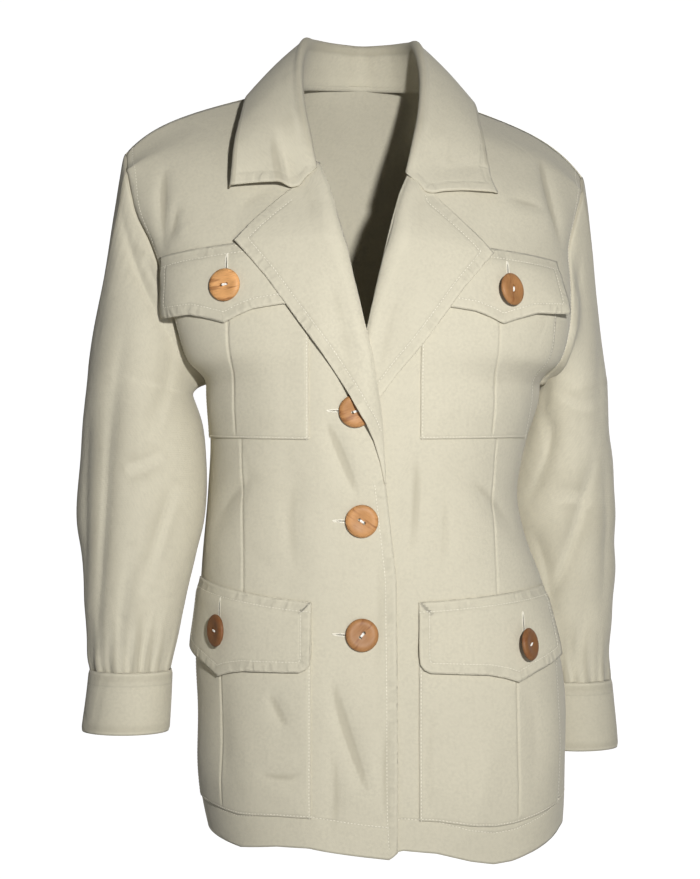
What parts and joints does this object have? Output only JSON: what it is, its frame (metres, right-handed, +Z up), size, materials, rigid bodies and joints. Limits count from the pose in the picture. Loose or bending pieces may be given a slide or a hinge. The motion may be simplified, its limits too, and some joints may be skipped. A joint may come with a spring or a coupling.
{
  "type": "safari jacket",
  "caption": "Light khaki cotton twill safari jacket in its worn form, with notched collar, flap pockets and wooden buttons.",
  "frame": {"origin": "middle of the neck opening, level with the back neck seam", "axes": "+Z up through the neck, +X to the wearer's left, -Y out of the buttoned front"},
  "size_m": [0.5198, 0.2864, 0.7633],
  "materials": {
    "back": "light khaki cotton twill, matt",
    "button_chest_left": "turned wood with a soft polish",
    "button_chest_right": "turned wood with a soft polish",
    "button_front_1": "turned wood with a soft polish",
    "button_front_2": "turned wood with a soft polish",
    "button_front_3": "turned wood with a soft polish",
    "button_lower_left": "turned wood with a soft polish",
    "button_lower_right": "turned wood with a soft polish",
    "collar": "light khaki cotton twill, matt",
    "cuff_left": "light khaki cotton twill, matt",
    "cuff_right": "light khaki cotton twill, matt",
    "flap_chest_left": "light khaki cotton twill, matt",
    "flap_chest_right": "light khaki cotton twill, matt",
    "flap_lower_left": "light khaki cotton twill, matt",
    "flap_lower_right": "light khaki cotton twill, matt",
    "front_left": "light khaki cotton twill, matt",
    "front_right": "light khaki cotton twill, matt",
    "lapel_left": "light khaki cotton twill, matt",
    "lapel_right": "light khaki cotton twill, matt",
    "pocket_chest_left": "light khaki cotton twill, matt",
    "pocket_chest_right": "light khaki cotton twill, matt",
    "pocket_lower_left": "light khaki cotton twill, matt",
    "pocket_lower_right": "light khaki cotton twill, matt",
    "sleeve_left": "light khaki cotton twill, matt",
    "sleeve_right": "light khaki cotton twill, matt"
  },
  "bodies": {
    "root": {"back": "back", "button_chest_left": "button_chest_left", "button_chest_right": "button_chest_right", "button_front_1": "button_front_1", "button_front_2": "button_front_2", "button_front_3": "button_front_3", "button_lower_left": "button_lower_left", "button_lower_right": "button_lower_right", "collar": "collar", "cuff_left": "cuff_left", "cuff_right": "cuff_right", "flap_chest_left": "flap_chest_left", "flap_chest_right": "flap_chest_right", "flap_lower_left": "flap_lower_left", "flap_lower_right": "flap_lower_right", "front_left": "front_left", "front_right": "front_right", "lapel_left": "lapel_left", "lapel_right": "lapel_right", "pocket_chest_left": "pocket_chest_left", "pocket_chest_right": "pocket_chest_right", "pocket_lower_left": "pocket_lower_left", "pocket_lower_right": "pocket_lower_right", "sleeve_left": "sleeve_left", "sleeve_right": "sleeve_right"}
  },
  "joints": []
}
